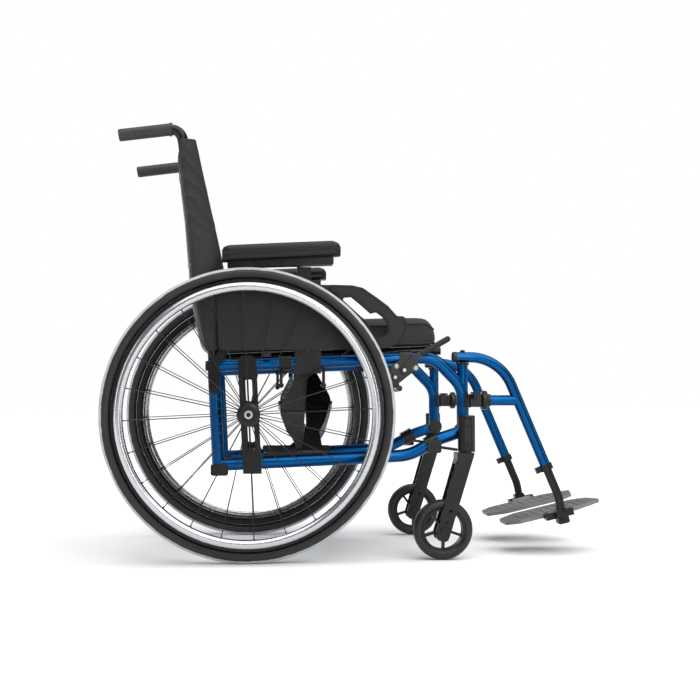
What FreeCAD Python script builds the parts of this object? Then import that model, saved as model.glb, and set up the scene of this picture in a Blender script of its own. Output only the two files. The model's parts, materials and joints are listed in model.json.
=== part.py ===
import FreeCAD, Part
import os
from math import atan2, cos, degrees, hypot, radians, sin, tan

from FreeCAD import Rotation, Vector

# A folding manual wheelchair in millimetres: X forwards, Y to the user's left, Z up from the floor.
# Everything is laid out from an upright line near the rear axle and moved by layout_x when it is
# written, so that the origin is on the floor at the middle of the chair. Pieces that come in pairs
# are drawn for the left side, where Y points outboard, and mirrored for the right side.
layout_x = -233.44

# Side frame
frame_y = 193.0
tube_r = 12.7
upright_foot = (-58.0, 186.0)
upright_head = (-69.6, 408.0)
top_rear = (-69.0, 397.0)
top_bend = (388.0, 416.0)
top_bend_r = 60.0
post_bend_r = 60.0
low_rear = (-58.5, 193.5)
low_rise = (335.0, 211.5)
low_crest = (400.0, 246.0)
low_front = (449.0, 262.0)
low_bend_r = 100.0
post_x = 449.0
post_foot_z = 246.0
post_bend_z = 353.0
post_head_z = 400.0
post_neck_r = 11.0
hanger_pin_r = 6.0

# Rear wheels
wheel_x = 3.0
wheel_y = 256.0
tyre_r = 297.0
tyre_section_r = 12.5
tyre_seat_r = 272.0
rim_inner_r = 257.0
rim_half_width = 11.0
handrim_r = 254.4
handrim_tube_r = 9.2
handrim_y = 292.0
handrim_stays = 6
spokes = 24
spoke_r = 1.0
spoke_turn = 2.7
nipple_r = 2.0
nipple_length = 10.0
hub_half_width = 27.0
hub_r = 15.0
flange_r = 23.5
flange_offset = 24.0
axle_r = 6.35
axle_head_r = 8.25
button_r = 4.5
running_gap = 0.05

# Casters
caster_y = 224.0
stem_x = 451.0
stem_r = 8.0
housing_foot_z = 220.0
housing_head_z = 295.0
housing_r = 17.8
caster_x = 401.0
caster_r = 61.5
caster_seat_r = 43.5
caster_band_r = 39.5
caster_half_width = 15.0
caster_bolt_r = 4.0
caster_spokes = 5
caster_spoke_half = 2.4
fork_head_z = 218.5
fork_crown_z = 196.0
fork_inner_half = 18.0
fork_leg = 5.0

# Cross brace and seat
pivot_y = 166.0
pivot_z = 214.0
pivot_bolt_r = 5.0
rail_y = 172.0
rail_r = 9.5
rail_above_tube = 14.5
rail_rear_x = -45.0
rail_front_x = 405.0
brace_x = 128.0
pivot_ends = (113.0, 157.0)
arm_gap = 0.5
arm_half_depth = 17.0
seat_rear_x = -48.0
seat_front_x = 400.0
sling_half_width = 182.0
cushion_half_width = 198.0
sling_thick = 2.5
cushion_thick = 54.0

# Back
cane_r = 11.0
cane_foot = (-66.3, 345.0)
cane_knee = (-70.3, 421.0)
cane_top = (-138.5, 889.0)
grip_tip = (-262.0, 872.0)
cane_top_r = 25.0
cane_knee_r = 120.0
grip_r = 12.8
grip_end_x = -157.0

# Front rigging
hanger_r = 11.0
hanger_z = 416.0
hanger_rear_x = 436.0
hanger_bend = (527.9, 416.0)
hanger_end = (624.5, 188.5)
hanger_bend_r = 95.0
strut_z = 326.0
extension_r = 8.93
extension_drop = 69.0
extension_end = (661.5, 72.0)
plate_tilt = 13.0
plate_hinge = (657.0, 86.0)
plate_hinge_y = 168.0
plate_inner_y = 33.0
plate_outer_y = 158.0
plate_length = 214.0
plate_thick = 7.0

# Armrests and side guards
guard_y = 220.0
guard_thick = 4.0
pad_y = 236.0
post_box_x = (101.0, 130.0)
post_box_y = (208.0, 217.6)

# Wheel locks
lever_pivot = (323.0, 388.0)
lever_bend = (347.0, 415.0)
lever_tip = (414.0, 453.0)
shoe_pivot = (304.0, 373.0)
shoe_centre = (306.5, 350.0)
shoe_r = 6.0


def at(point, y=frame_y):
    """A side-view point (x, z) placed at a distance y outboard."""
    return Vector(point[0], y, point[1])


def path(points, radii):
    """Straight runs joined by tangent arcs, one radius for each inner point."""
    edges = []
    start = points[0]
    for corner, after, radius in zip(points[1:-1], points[2:], radii):
        back = (start - corner).normalize()
        ahead = (after - corner).normalize()
        half = back.getAngle(ahead) / 2
        reach = radius / tan(half)
        enter = corner + back * reach
        leave = corner + ahead * reach
        bisector = (back + ahead).normalize()
        middle = corner + bisector * (radius / sin(half) - radius)
        edges.append(Part.LineSegment(start, enter).toShape())
        edges.append(Part.Arc(enter, middle, leave).toShape())
        start = leave
    edges.append(Part.LineSegment(start, points[-1]).toShape())
    return Part.Wire(edges)


def bar(points, radii, radius):
    """A round bar swept along a path."""
    spine = path(points, radii)
    along = points[1] - points[0]
    section = Part.Wire(Part.makeCircle(radius, points[0], along))
    return spine.makePipeShell([section], True, False)


def rod(start, end, radius):
    """A straight round bar between two points."""
    along = end - start
    return Part.makeCylinder(radius, along.Length, start, along)


def cross_rod(x, z, radius, y_from, y_to):
    """A round bar lying along Y."""
    return Part.makeCylinder(radius, y_to - y_from, Vector(x, y_from, z), Vector(0, 1, 0))


def block(x_from, x_to, y_from, y_to, z_from, z_to):
    """A plain box between two corners."""
    return Part.makeBox(x_to - x_from, y_to - y_from, z_to - z_from, Vector(x_from, y_from, z_from))


def side_wire(points, y):
    """A closed outline of straight edges in a side-view plane."""
    return Part.makePolygon([at(point, y) for point in points] + [at(points[0], y)])


def slab(points, y_from, y_to):
    """A side-view outline given thickness along Y."""
    face = Part.Face(side_wire(points, y_from))
    return face.extrude(Vector(0, y_to - y_from, 0))


def link_bar(start, end, radius, y_from, y_to):
    """A flat bar with round ends between two side-view points."""
    along = Vector(end[0] - start[0], 0, end[1] - start[1])
    across = Vector(-along.z, 0, along.x).normalize() * radius
    middle = Part.makePolygon([at(start, y_from) + across, at(end, y_from) + across,
                               at(end, y_from) - across, at(start, y_from) - across,
                               at(start, y_from) + across])
    body = Part.Face(middle).extrude(Vector(0, y_to - y_from, 0))
    return union([body, cross_rod(*start, radius, y_from, y_to), cross_rod(*end, radius, y_from, y_to)])


def ring(profile, centre_x=wheel_x, centre_z=tyre_r):
    """A profile of (radius, y) points turned about an axle along Y."""
    points = [Vector(centre_x + radius, y, centre_z) for radius, y in profile]
    face = Part.Face(Part.makePolygon(points + [points[0]]))
    return face.revolve(Vector(centre_x, 0, centre_z), Vector(0, 1, 0), 360)


def union(shapes):
    """Shapes joined into one, with seams between flush faces removed."""
    joined = shapes[0].multiFuse(shapes[1:])
    return joined.removeSplitter()


def soften(shape, radius, wanted):
    """Rounds the edges that the test picks."""
    edges = [edge for edge in shape.Edges if wanted(edge)]
    return shape.makeFillet(radius, edges) if edges else shape


def along_y(edge):
    """True for a straight edge that lies along Y."""
    if not isinstance(edge.Curve, Part.Line):
        return False
    return abs(abs(edge.tangentAt(edge.FirstParameter).y) - 1) < 1e-6


def bolt_head(x, z, y, radius=4.5, height=3.0):
    """A round bolt head standing outboard with a hexagon socket."""
    head = cross_rod(x, z, radius, y, y + height)
    socket_r = 0.55 * radius
    corners = [Vector(x + socket_r * cos(radians(60 * k)), y + 1, z + socket_r * sin(radians(60 * k)))
               for k in range(6)]
    socket = Part.Face(Part.makePolygon(corners + [corners[0]])).extrude(Vector(0, height, 0))
    return head.cut(socket)


# ---- positions worked out from the driving dimensions ----

top_slope = (top_bend[1] - top_rear[1]) / (top_bend[0] - top_rear[0])


def tube_z(x):
    """Height of the top tube's centreline."""
    return top_rear[1] + top_slope * (x - top_rear[0])


def rail_z(x):
    """Height of the seat rail's centreline, which runs parallel to the top tube."""
    return tube_z(x) + rail_above_tube


def low_z(x):
    """Height of the lower tube's centreline behind its rise."""
    slope = (low_rise[1] - low_rear[1]) / (low_rise[0] - low_rear[0])
    return low_rear[1] + slope * (x - low_rear[0])


def upright_x(z):
    """Centre of the rear upright at a height."""
    part = (z - upright_foot[1]) / (upright_head[1] - upright_foot[1])
    return upright_foot[0] + part * (upright_head[0] - upright_foot[0])


arm_angle = atan2(rail_z(brace_x) - pivot_z, rail_y + pivot_y)
arm_length = hypot(rail_z(brace_x) - pivot_z, rail_y + pivot_y)
centre_z = pivot_z + pivot_y * tan(arm_angle)


# ---- side frame ----

def make_side_frame():
    top_corner = at((post_x, post_bend_z))
    tubes = [bar([at(top_rear), at(top_bend), top_corner, at((post_x, post_foot_z))],
                 [top_bend_r, post_bend_r], tube_r),
             rod(at(upright_foot), at(upright_head), tube_r),
             bar([at(low_rear), at(low_rise), at(low_crest), at(low_front)],
                 [low_bend_r, low_bend_r], tube_r),
             rod(at((post_x, post_bend_z - 30)), at((post_x, post_head_z)), post_neck_r)]
    frame = union(tubes)
    frame = frame.cut(rod(at(cane_foot), at(cane_knee), cane_r))
    pin_hole = rod(at((post_x, post_head_z - 60)), at((post_x, post_head_z + 1)), hanger_pin_r + running_gap)
    return frame.cut(pin_hole)


def clamp_around(x, z, slope, length, thick):
    """A split collar round a tube that runs forwards at a slope."""
    along = Vector(1, 0, slope).normalize()
    start = at((x, z)) - along * (length / 2)
    return Part.makeCylinder(tube_r + thick, length, start, along)


def make_cane_bracket(frame):
    """The plate that ties the cane's foot to the upright and reaches up to the side guard."""
    heights = (354, 392)
    plate = union([link_bar((upright_x(352), 352), (upright_x(396), 396), 12, 206, 210),
                   link_bar((upright_x(396), 396), (-44, 434), 9, 206, 210)])
    bolts = [bolt_head(upright_x(z), z, 210) for z in heights]
    shanks = [cross_rod(upright_x(z), z, 3, frame_y + cane_r + 0.2, 206.1) for z in heights]
    return union([plate] + bolts + shanks).cut(frame)


def make_rail_saddle(x, frame):
    """A clamp on the top tube with a shelf that the seat rail comes down on."""
    collar = clamp_around(x, tube_z(x), top_slope, 26, 3.2)
    collar = collar.common(block(x - 40, x + 40, 0, 206.0, 300, 500))
    shelf = block(x - 12, x + 12, rail_y - 6, frame_y, tube_z(x) - 6, rail_z(x))
    saddle = union([collar, shelf]).cut(frame)
    way_up = rod(Vector(x - 40, rail_y, rail_z(x - 40)), Vector(x + 40, rail_y, rail_z(x + 40)), rail_r + 0.6)
    above = block(x - 40, x + 40, 100, rail_y + rail_r + 0.6, rail_z(x), rail_z(x) + 60)
    return saddle.cut(way_up).cut(above)


def make_brace_pivot(frame):
    """A strip along the lower tube with two ears and the bolt that the cross arm turns on."""
    ear_thick = 8
    play = 1
    strip = block(35, 195, 179, 190, 204, 219)
    parts = [soften(strip, 3, along_y)]
    for x_from in (pivot_ends[0] - play - ear_thick, pivot_ends[1] + play):
        parts.append(Part.makeCylinder(12, ear_thick, Vector(x_from, pivot_y, pivot_z), Vector(1, 0, 0)))
        parts.append(block(x_from, x_from + ear_thick, pivot_y, 182, pivot_z - 9, pivot_z + 5))
    parts.append(Part.makeCylinder(pivot_bolt_r, pivot_ends[1] - pivot_ends[0] + 26,
                                   Vector(pivot_ends[0] - 13, pivot_y, pivot_z), Vector(1, 0, 0)))
    parts += [Part.makeCylinder(8, 4, Vector(x, pivot_y, pivot_z), Vector(1, 0, 0))
              for x in (pivot_ends[0] - 13, pivot_ends[1] + 9)]
    return union(parts).cut(frame)


def make_post_tie(frame):
    """A clamp on the lower tube with a lug, a bolt and a thin brace rod to the caster housing."""
    knot = clamp_around(384, 238.5, 0.53, 28, 3.6)
    knot = knot.common(block(350, 430, 150, 240, 200, 290))
    lug = soften(block(372, 401, 203, 212, 217, 244), 5, along_y)
    tie = rod(Vector(394, 209, 229.5), Vector(432.6, 221, 224), 3.0)
    return union([knot, lug, tie, bolt_head(387, 231, 212)]).cut(frame)


def make_lock_plate(frame):
    """The wheel lock's plate with its tube clamp, two pivots and two clamp screws."""
    outline = [(294, 366), (297, 398), (312, 408), (350, 408), (355, 392), (338, 381), (314, 362), (302, 359)]
    plate = slab(outline, 206.2, 211)
    plate = soften(plate, 4, along_y)
    clamp = clamp_around(328, tube_z(328), top_slope, 26, 3.2)
    clamp = clamp.common(block(300, 350, 185, 206.4, 380, 440))
    pivots = [cross_rod(*place, 4, 211, 218) for place in (lever_pivot, shoe_pivot)]
    caps = [bolt_head(*place, 216.6, 6, 3) for place in (lever_pivot, shoe_pivot)]
    screws = [bolt_head(x, z, 211, 4.5, 3) for x, z in ((307.5, 396), (347.5, 393))]
    return union([plate, clamp] + pivots + caps + screws).cut(frame)


def make_post_sleeve():
    """The box section that takes the armrest post."""
    foot = block(97, 151, 206.3, 219.3, 381, 427)
    tower = block(post_box_x[0] - 2, post_box_x[1] + 2, 206.3, 219.3, 420, 500)
    play = 0.3
    inner = block(post_box_x[0] - play, post_box_x[1] + play,
                  post_box_y[0] - play, post_box_y[1] + play, 300, 600)
    return union([foot, tower]).cut(inner)


def make_guide_lug(x, frame):
    """A short rod with a cross knob hanging from the top tube beside the cross brace."""
    y = 183
    drop = rod(Vector(x, y, 357), Vector(x, y, tube_z(x) - 4), 3.2)
    knob = cross_rod(x, 357, 5.5, y - 6, y + 6)
    return union([drop, knob]).cut(frame)


def make_frame_fittings(frame):
    corner = soften(block(-74, -38, frame_y - 15, frame_y + 15, 172, 196), 5, along_y)
    tube_cap = Part.makeCylinder(10, 5, at((upright_x(397) - tube_r - 4, 396.5)), Vector(1, 0, 0))
    washer = rod(at((post_x, post_head_z)), at((post_x, post_head_z + 4.4)), 13.5)
    washer = washer.cut(rod(at((post_x, 390)), at((post_x, 410)), hanger_pin_r + running_gap))
    post_cap = soften(cross_rod(post_x, 263, 16, 172, 182), 2, lambda edge: edge.CenterOfMass.y < 173)
    pieces = [corner.cut(frame), tube_cap.cut(frame), make_cane_bracket(frame),
              union([make_rail_saddle(78, frame), make_guide_lug(70, frame)]), make_rail_saddle(270, frame),
              make_brace_pivot(frame), make_guide_lug(158, frame), make_post_tie(frame),
              make_lock_plate(frame), make_post_sleeve(), washer, post_cap.cut(frame)]
    return Part.makeCompound(pieces)


def make_axle_plate(frame):
    lean = (upright_head[0] - upright_foot[0]) / (upright_head[1] - upright_foot[1])
    middle = wheel_x + 2

    def leaning(x, z):
        return (middle + x + lean * (z - tyre_r), z)

    def panel(half, low, high, y_from, y_to):
        corners = [leaning(-half, low), leaning(-half, high), leaning(half, high), leaning(half, low)]
        return slab(corners, y_from, y_to)

    plate = panel(19, 176, 412, 207, 213)
    for low, high in ((324, 376), (226, 272)):
        plate = plate.cut(soften(panel(8, low, high, 200, 220), 4, along_y))
    grips = [soften(panel(14, z - 18, z + 18, 184, 208), 5, along_y) for z in (tube_z(0), low_z(0))]
    boss = cross_rod(wheel_x, tyre_r, 21, 205, 215)
    sleeve = cross_rod(wheel_x, tyre_r, 11, 190, 228)
    solid = union([plate] + grips + [boss, sleeve]).cut(frame)
    solid = solid.cut(cross_rod(wheel_x, tyre_r, axle_r, 180, 240))
    bolts = [bolt_head(*leaning(side * 12.5, z), 213, 3.5, 2.5)
             for z in (tube_z(0), low_z(0)) for side in (-1, 1)]
    return union([solid] + bolts)


# ---- back ----

def cane_points(y):
    """Corners of a back cane's centreline, from its foot to the tip of its handle."""
    return [at(cane_foot, y), at(cane_knee, y), at(cane_top, y), at(grip_tip, y)]


def make_back_cane():
    return bar(cane_points(frame_y), [cane_knee_r, cane_top_r], cane_r)


def make_push_grip(cane):
    """A rubber sleeve over the handle that follows the start of its bend, closed at the tip."""
    tip = at(grip_tip)
    backwards = (tip - at(cane_top)).normalize()

    def cover(radius, x_from, x_to):
        whole = bar([tip + backwards * 4, at(cane_top), at(cane_knee)], [cane_top_r], radius)
        return whole.common(block(x_from, x_to, frame_y - 30, frame_y + 30, 800, 950))

    sleeve = cover(grip_r, grip_tip[0] - 20, grip_end_x)
    sleeve = soften(sleeve, 3, lambda edge: edge.CenterOfMass.x < grip_tip[0])
    flange = cover(grip_r + 1.4, grip_end_x - 5, grip_end_x)
    return union([sleeve, flange]).cut(cane)


def make_back_upholstery():
    outline = [(-86, 426), (-107, 520), (-114.5, 576), (-126, 710), (-136, 790), (-145, 862),
               (-108, 863), (-84, 758), (-68, 687), (-51, 596), (-48, 500), (-51, 430)]
    half = frame_y + cane_r + 1.6
    panel = slab(outline, -half, half)
    for y in (-frame_y, frame_y):
        panel = panel.cut(bar(cane_points(y), [cane_knee_r, cane_top_r], cane_r + 0.5))
    return panel


# ---- seat and cross brace ----

def make_seat_rail():
    return rod(Vector(rail_rear_x, rail_y, rail_z(rail_rear_x)),
               Vector(rail_front_x, rail_y, rail_z(rail_front_x)), rail_r)


def arm_section(centre, along, x_from, x_to, half_depth):
    """A rectangular section across an arm whose centreline runs along a direction in the YZ plane."""
    across = Vector(0, -along.z, along.y) * half_depth
    corners = [Vector(x_from, centre.y, centre.z) + across, Vector(x_to, centre.y, centre.z) + across,
               Vector(x_to, centre.y, centre.z) - across, Vector(x_from, centre.y, centre.z) - across]
    return Part.makePolygon(corners + [corners[0]])


def make_cross_arm(lower_side, forward):
    """An arm from the lower pivot on one side to the seat rail on the other; forward is 1 or -1."""
    foot = Vector(0, lower_side * pivot_y, pivot_z)
    head = Vector(0, -lower_side * rail_y, rail_z(brace_x))
    along = (head - foot).normalize()
    inner = brace_x + forward * arm_gap
    foot_inward = -14 if forward > 0 else -28
    foot_outward = 28 if forward > 0 else 13.5
    middle_reach = arm_length * pivot_y / (pivot_y + rail_y)
    stations = [(0, foot_inward, foot_outward, 9), (16, foot_inward, foot_outward, 10), (66, -7, 25, 13),
                (78, -6, 29, 14), (102, 0, 38, 16), (middle_reach - 16, 0, 54, arm_half_depth),
                (middle_reach + 16, 0, 54, arm_half_depth), (262, 0, 42, 16), (312, 0, 31, 14),
                (arm_length, 0, 27, 10)]
    sections = []
    for reach, inward, outward, half_depth in stations:
        ends = sorted((inner + forward * inward, inner + forward * outward))
        sections.append(arm_section(foot + along * reach, along, ends[0], ends[1], half_depth))
    arm = Part.makeLoft(sections, True, True)
    boss = Part.makeCylinder(12, pivot_ends[1] - pivot_ends[0], Vector(pivot_ends[0], foot.y, foot.z),
                             Vector(1, 0, 0))
    hub_ends = sorted((inner, inner + forward * 55))
    hub = Part.makeCylinder(19, hub_ends[1] - hub_ends[0], Vector(hub_ends[0], 0, centre_z), Vector(1, 0, 0))
    cup_ends = sorted((inner - forward * 14, inner + forward * 34))
    cup = rod(Vector(cup_ends[0], head.y, rail_z(cup_ends[0])),
              Vector(cup_ends[1], head.y, rail_z(cup_ends[1])),
              rail_r + 2.7)
    arm = union([arm, boss, hub, cup])
    above = block(0, 300, -250, 250, rail_z(brace_x) + 5, 500)
    arm = arm.cut(above)
    rail_way = rod(Vector(0, head.y, rail_z(0)), Vector(300, head.y, rail_z(300)), rail_r)
    pivot_way = Part.makeCylinder(pivot_bolt_r + running_gap, 200,
                                  Vector(60, foot.y, foot.z), Vector(1, 0, 0))
    bolt_gap = 0.0 if forward > 0 else running_gap
    bolt_way = Part.makeCylinder(6 + bolt_gap, 200, Vector(60, 0, centre_z), Vector(1, 0, 0))
    return arm.cut(rail_way).cut(pivot_way).cut(bolt_way)


def make_centre_bolt():
    half = 60
    head_thick = 4
    shank = Part.makeCylinder(6, 2 * half, Vector(brace_x - half, 0, centre_z), Vector(1, 0, 0))
    heads = [Part.makeCylinder(10, head_thick, Vector(x, 0, centre_z), Vector(1, 0, 0))
             for x in (brace_x - half, brace_x + half - head_thick)]
    return union([shank] + heads)


def seat_slab(half_width, below, thick, x_from, x_to, nose_r):
    """A flat layer above the seat rails, between two heights over the rails' centrelines."""
    outline = [(x_from, rail_z(x_from) + below), (x_to, rail_z(x_to) + below),
               (x_to, rail_z(x_to) + below + thick), (x_from, rail_z(x_from) + below + thick)]
    layer = slab(outline, -half_width, half_width)
    if nose_r:
        layer = soften(layer, nose_r, lambda edge: along_y(edge) and edge.CenterOfMass.x > 0)
    return layer


# ---- rear wheels ----

def make_rear_tyre():
    centre_r = tyre_r - tyre_section_r
    steps = 24
    crown = []
    for step in range(steps + 1):
        turn = radians(-120 + 240 * step / steps)
        crown.append((centre_r + tyre_section_r * cos(turn), wheel_y + tyre_section_r * sin(turn)))
    bead = [(tyre_seat_r, wheel_y + 9), (tyre_seat_r, wheel_y - 9)]
    return ring(crown + bead)


def make_rear_rim():
    half = rim_half_width
    profile = [(rim_inner_r, wheel_y - 7), (rim_inner_r, wheel_y + 7), (rim_inner_r + 5, wheel_y + half),
               (tyre_seat_r, wheel_y + half), (tyre_seat_r, wheel_y - half),
               (rim_inner_r + 5, wheel_y - half)]
    return ring(profile)


def make_handrim():
    hoop = Part.makeTorus(handrim_r, handrim_tube_r, Vector(wheel_x, handrim_y, tyre_r), Vector(0, 1, 0))
    foot_r = rim_inner_r + 6
    stays = []
    for step in range(handrim_stays):
        turn = radians(spoke_turn + 180 / spokes + 360 / handrim_stays * step)
        stays.append(cross_rod(wheel_x + foot_r * cos(turn), tyre_r + foot_r * sin(turn), 4,
                               wheel_y + rim_half_width, handrim_y))
    return union([hoop] + stays)


def make_wheel_spokes():
    """Straight spokes from alternate hub flanges, each with its nipple at the rim."""
    wires = []
    outer_r = rim_inner_r + 0.6
    for step in range(spokes):
        turn = radians(spoke_turn + 360 / spokes * step)
        side = 1 if step % 2 else -1
        outward = Vector(cos(turn), 0, sin(turn))
        axle = Vector(wheel_x, wheel_y, tyre_r)
        inner = axle + outward * (flange_r - 1) + Vector(0, side * flange_offset, 0)
        outer = axle + outward * outer_r
        along = (outer - inner).normalize()
        wires.append(union([rod(inner, outer, spoke_r), rod(outer - along * nipple_length, outer, nipple_r)]))
    return Part.makeCompound(wires)


def make_wheel_hub():
    low = wheel_y - hub_half_width
    high = wheel_y + hub_half_width
    inner_flange = wheel_y - flange_offset
    outer_flange = wheel_y + flange_offset
    bore = axle_r + running_gap
    profile = [(bore, low), (17.5, low), (flange_r, inner_flange - 1.5), (flange_r, inner_flange + 1.5),
               (hub_r, inner_flange + 5), (hub_r, outer_flange - 5), (flange_r, outer_flange - 1.5),
               (flange_r, outer_flange + 1.5), (17.5, high), (bore, high)]
    return ring(profile)


def make_axle_pin():
    shank = cross_rod(wheel_x, tyre_r, axle_r, 187, wheel_y + hub_half_width + 0.5)
    head = cross_rod(wheel_x, tyre_r, axle_head_r, wheel_y + hub_half_width + 0.5, 288.5)
    well = cross_rod(wheel_x, tyre_r, button_r + 0.1, 276, 300)
    return union([shank, head]).cut(well)


def make_axle_button():
    button = cross_rod(wheel_x, tyre_r, button_r, 281, 291)
    return soften(button, 1, lambda edge: edge.CenterOfMass.y > 290)


# ---- casters ----

def make_caster_housing(frame):
    body = Part.makeCylinder(housing_r, housing_head_z - housing_foot_z,
                             Vector(stem_x, caster_y, housing_foot_z))
    body = soften(body, 3, lambda edge: edge.CenterOfMass.z > housing_head_z - 1 and edge.Length > 50)
    face_y = caster_y + housing_r
    channel = block(stem_x - 6.5, stem_x + 6.5, face_y - 2.4, face_y + 3, 225, 288)
    body = body.cut(soften(channel, 4, along_y))
    neck = block(stem_x - 13, stem_x + 13, frame_y + 4, caster_y, 250, 291)
    bolts = [bolt_head(stem_x, z, face_y - 2.6, 4.6, 3) for z in (274, 236)]
    body = union([body, neck] + bolts).cut(frame)
    stem_way = Part.makeCylinder(stem_r + running_gap, 72, Vector(stem_x, caster_y, housing_foot_z - 1))
    return body.cut(stem_way)


def make_caster_fork():
    """A welded fork with a raked leg each side of the wheel, its stem, and the wheel's bolt."""
    inner = fork_inner_half
    outer = inner + fork_leg
    outline = [(428, fork_head_z), (463.5, fork_head_z), (462.5, 212), (412.5, 50), (408.5, 41), (400, 37),
               (387, 42.5), (383, 53), (427.5, 206)]
    head = [(428, fork_head_z), (463.5, fork_head_z), (462.5, 212), (457.5, fork_crown_z),
            (424.6, fork_crown_z), (427.5, 206)]
    legs = [slab(outline, caster_y - outer, caster_y - inner),
            slab(outline, caster_y + inner, caster_y + outer)]
    crown = slab(head, caster_y - outer, caster_y + outer)
    stem = Part.makeCylinder(stem_r, 68, Vector(stem_x, caster_y, fork_head_z - 2))
    fork = union(legs + [crown, stem])
    fork = soften(fork, 1.5, lambda edge: edge.Length > 60 and abs(edge.CenterOfMass.y - caster_y) > 22)
    rake = 0.33
    for rise in (17, 39):
        hole = cross_rod(caster_x + rake * rise, caster_r + rise, 3, caster_y - 30, caster_y + 30)
        fork = fork.cut(hole)
    fork = fork.cut(cross_rod(caster_x, caster_r, caster_bolt_r, caster_y - 30, caster_y + 30))
    bolt = cross_rod(caster_x, caster_r, caster_bolt_r, caster_y - 27, caster_y + 27)
    heads = [cross_rod(caster_x, caster_r, 7, caster_y + outer, caster_y + outer + 4),
             cross_rod(caster_x, caster_r, 7, caster_y - outer - 4, caster_y - outer)]
    return Part.makeCompound([fork, union([bolt] + heads)])


def make_caster_wheel():
    half = 12.0
    hub = cross_rod(caster_x, caster_r, 12, caster_y - 16, caster_y + 16)
    band = ring([(caster_band_r, caster_y - half), (caster_seat_r, caster_y - half),
                 (caster_seat_r, caster_y + half), (caster_band_r, caster_y + half)], caster_x, caster_r)
    arms = []
    for step in range(caster_spokes):
        arm = block(caster_x + 9, caster_x + caster_band_r + 2, caster_y - 8, caster_y + 8,
                    caster_r - caster_spoke_half, caster_r + caster_spoke_half)
        arm.rotate(Vector(caster_x, caster_y, caster_r), Vector(0, 1, 0), 90 + 360 / caster_spokes * step)
        arms.append(arm)
    wheel = union([hub, band] + arms)
    return wheel.cut(cross_rod(caster_x, caster_r, caster_bolt_r + running_gap, caster_y - 30, caster_y + 30))


def make_caster_tyre():
    half = caster_half_width
    shoulder = 9.0
    wall_r = caster_r - shoulder - 5
    profile = [(caster_seat_r, caster_y - 12), (wall_r, caster_y - half)]
    steps = 12
    for step in range(steps + 1):
        turn = radians(-90 + 180 * step / steps)
        profile.append((caster_r - shoulder + shoulder * cos(turn), caster_y + half * sin(turn)))
    profile += [(wall_r, caster_y + half), (caster_seat_r, caster_y + 12)]
    return ring(profile, caster_x, caster_r)


# ---- front rigging ----

hanger_way = (at(hanger_end) - at(hanger_bend)).normalize()


def make_hanger_tube():
    main = bar([at((hanger_rear_x, hanger_z)), at(hanger_bend), at(hanger_end)], [hanger_bend_r], hanger_r)
    strut_x = hanger_bend[0] + (hanger_bend[1] - strut_z) * hanger_way.x / -hanger_way.z
    strut = rod(at((503, strut_z)), at((strut_x, strut_z)), hanger_r - 0.2)
    tube = union([main, strut])
    tube = tube.cut(rod(at(hanger_end) - hanger_way * 116, at(hanger_end) + hanger_way, extension_r + 0.07))
    return tube.cut(rod(at((post_x, 380)), at((post_x, 440)), hanger_pin_r))


def make_hanger_fittings():
    """The hanger's pivot pin, end plug, latch body and the clamp collar at its lower end."""
    pin = rod(at((post_x, 345)), at((post_x, hanger_z + hanger_r)), hanger_pin_r)
    knob = rod(at((post_x, hanger_z + hanger_r - 1)), at((post_x, hanger_z + hanger_r + 4)), 5)
    plug = rod(at((hanger_rear_x - 9, hanger_z)), at((hanger_rear_x, hanger_z)), hanger_r + 0.4)
    plug = soften(plug, 2, lambda edge: edge.CenterOfMass.x < hanger_rear_x - 8)
    saddle = rod(at((post_x, 311)), at((post_x, 339)), 17.5)
    saddle = saddle.common(block(post_x, 500, 150, 230, 300, 350))
    nose = block(post_x + 10, 489, frame_y - 9, frame_y + 9, 312, 339)
    disc = Part.makeCylinder(20, 12, at((488, strut_z)), Vector(1, 0, 0))
    disc = soften(disc, 3, lambda edge: edge.Length > 100)
    neck = Part.makeCylinder(13, 8, at((499, strut_z)), Vector(1, 0, 0))
    latch = union([saddle, nose, disc, neck]).cut(rod(at((post_x, 300)), at((post_x, 350)), tube_r + 1.8))
    latch = latch.cut(rod(at((503, strut_z)), at((520, strut_z)), hanger_r - 0.2))
    latch = latch.cut(rod(at((474, 325)), at((474, 345)), 3 + running_gap))
    foot = at(hanger_end)
    collar = rod(foot - hanger_way * 3, foot + hanger_way * 9, 13.6)
    tab = block(-9, 9, -5, 5, -6, 6)
    tab.rotate(Vector(0, 0, 0), Vector(0, 1, 0), -degrees(atan2(hanger_way.x, -hanger_way.z)))
    tab.translate(foot + hanger_way * 3 + Vector(-14, 0, -5))
    collar = union([collar, tab])
    collar = collar.cut(rod(foot - hanger_way * 20, foot, hanger_r))
    collar = collar.cut(rod(foot - hanger_way * 20, foot + hanger_way * 30, extension_r + 0.07))
    return Part.makeCompound([union([pin, knob]), plug, latch, collar])


def make_hanger_latch():
    lever = block(466, 482, frame_y - 8, frame_y + 30, 339.4, 343.4)
    lever = soften(lever, 5, lambda edge: abs(edge.tangentAt(edge.FirstParameter).z) > 0.9)
    stud = rod(at((474, 328)), at((474, 342)), 3)
    finger = block(467, 481, frame_y + 26, frame_y + 30, 330, 343.4)
    return union([lever, stud, finger])


def plate_place():
    """Placement of the footplate: local X along its length, local Z up from its hinge line."""
    turn = Rotation(Vector(0, 1, 0), -plate_tilt)
    return FreeCAD.Placement(Vector(plate_hinge[0], 0, plate_hinge[1]), turn)


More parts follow.
